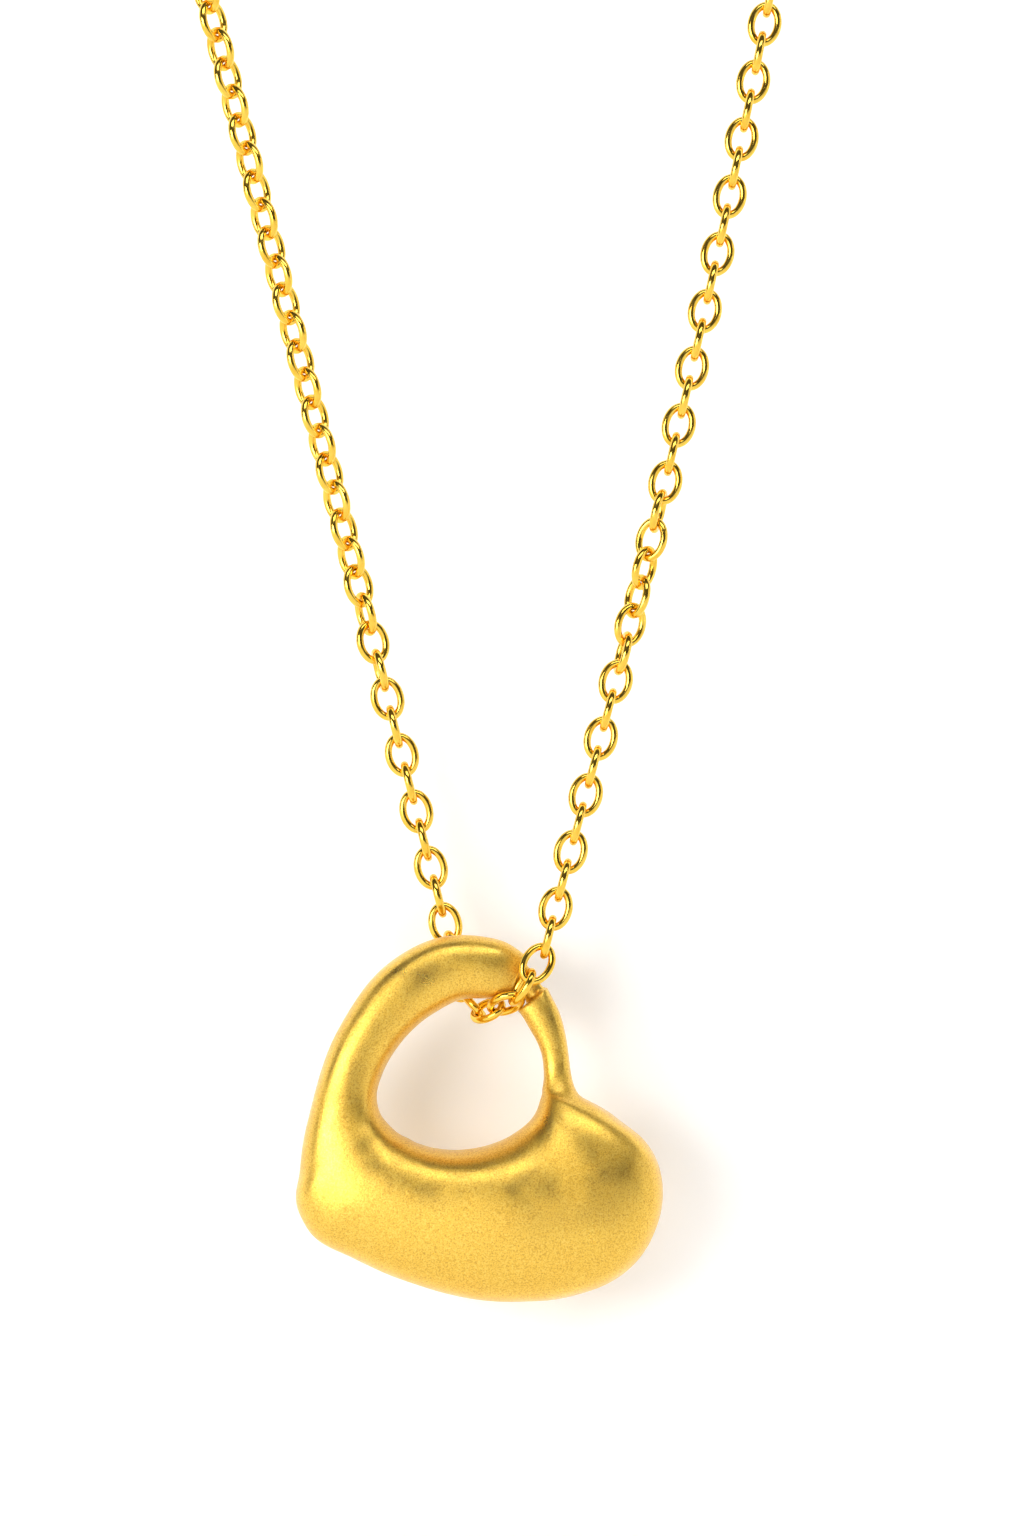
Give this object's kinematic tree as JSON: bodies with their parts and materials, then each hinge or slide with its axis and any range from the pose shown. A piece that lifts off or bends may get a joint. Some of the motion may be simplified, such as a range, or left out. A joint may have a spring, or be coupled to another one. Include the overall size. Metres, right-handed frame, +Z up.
{
  "type": "pendant necklace",
  "caption": "Puffed open heart with a swelling satin tube body, hung by its notch on a fine polished oval cable chain closed by a round spring clasp.",
  "frame": {"origin": "centre of the round top of the hanging loop, where a neck goes", "axes": "+Z up, against the hang of the chain; the loop lies in XZ; the front of the heart faces -Y"},
  "size_m": [0.0732, 0.0067, 0.2044],
  "materials": {
    "satin_gold": "fine-grained satin gold",
    "chain_gold": "polished gold",
    "clasp_gold": "polished gold",
    "spring_steel": "drawn spring wire"
  },
  "bodies": {
    "top": {"top_left_chain": "chain_gold", "top_right_chain": "chain_gold"},
    "drape_1": {"drape_1_left_chain": "chain_gold", "drape_1_right_chain": "chain_gold"},
    "drape_2": {"drape_2_left_chain": "chain_gold", "drape_2_right_chain": "chain_gold"},
    "drape_3": {"drape_3_left_chain": "chain_gold", "drape_3_right_chain": "chain_gold"},
    "drape_4": {"drape_4_left_chain": "chain_gold", "drape_4_right_chain": "chain_gold"},
    "drape_5": {"drape_5_left_chain": "chain_gold", "drape_5_right_chain": "chain_gold"},
    "cradle": {"cradle_left_chain": "chain_gold", "cradle_right_chain": "chain_gold", "rear_link_upper": "chain_gold", "rear_link_middle": "chain_gold", "rear_link_lower": "chain_gold", "under_link": "chain_gold", "hook_link": "chain_gold", "front_link": "chain_gold", "rise_link": "chain_gold"},
    "heart": {"heart_body": "satin_gold"},
    "clasp": {"clasp_ring_shell": "clasp_gold", "clasp_eye": "clasp_gold", "clasp_stop": "clasp_gold", "clasp_spring": "spring_steel"},
    "bolt": {"clasp_bolt": "clasp_gold", "clasp_thumb_bead": "clasp_gold"},
    "end_ring": {"end_ring": "clasp_gold"},
    "jump_ring": {"jump_ring": "clasp_gold"}
  },
  "joints": [
    {"name": "drape_1_swing", "type": "hinge", "parent": "top", "child": "drape_1", "pos_m": [0.00001, -0.00001, -0.01204], "axis": [0.9999, -0.0016, -0.0152], "range_deg": [-22, 22]},
    {"name": "drape_2_swing", "type": "hinge", "parent": "drape_1", "child": "drape_2", "pos_m": [0.00101, 0.00012, -0.03938], "axis": [0.9998, -0.0168, 0.0047], "range_deg": [-25, 25]},
    {"name": "drape_3_swing", "type": "hinge", "parent": "drape_2", "child": "drape_3", "pos_m": [0.00179, 0.00022, -0.0659], "axis": [0.9992, -0.0394, -0.0022], "range_deg": [-25, 25]},
    {"name": "drape_4_swing", "type": "hinge", "parent": "drape_3", "child": "drape_4", "pos_m": [0.00269, 0.00033, -0.08993], "axis": [0.9965, -0.0743, 0.0376], "range_deg": [-25, 25]},
    {"name": "drape_5_swing", "type": "hinge", "parent": "drape_4", "child": "drape_5", "pos_m": [0.00299, 0.00041, -0.11228], "axis": [0.9901, -0.1371, -0.0287], "range_deg": [-25, 25]},
    {"name": "cradle_swing", "type": "hinge", "parent": "drape_5", "child": "cradle", "pos_m": [0.00308, 0.00049, -0.1337], "axis": [0.95, -0.3069, -0.0571], "range_deg": [-25, 25]},
    {"name": "heart_rock", "type": "hinge", "parent": "cradle", "child": "heart", "pos_m": [0.00182, 0, -0.1486], "axis": [0, -1, 0], "range_deg": [-0.5, 1.5]},
    {"name": "clasp_flip", "type": "hinge", "parent": "top", "child": "clasp", "pos_m": [0, 0, 0.03564], "axis": [1, 0, 0], "range_deg": [-35, 35]},
    {"name": "bolt_slide_round", "type": "hinge", "parent": "clasp", "child": "bolt", "pos_m": [-0.00121, 0, 0.03564], "axis": [0, -1, 0], "range_deg": [0, 44], "stiffness_Nm_per_rad": 0.002, "springref_deg": -17.19, "deforming": ["clasp_spring"]},
    {"name": "end_ring_turn", "type": "hinge", "parent": "top", "child": "end_ring", "pos_m": [-0.00407, 0, 0.03551], "axis": [0.1139, 0, -0.9935], "continuous": true},
    {"name": "jump_ring_turn", "type": "hinge", "parent": "top", "child": "jump_ring", "pos_m": [0.00389, 0, 0.03553], "axis": [-0.1089, 0, -0.994], "continuous": true}
  ]
}
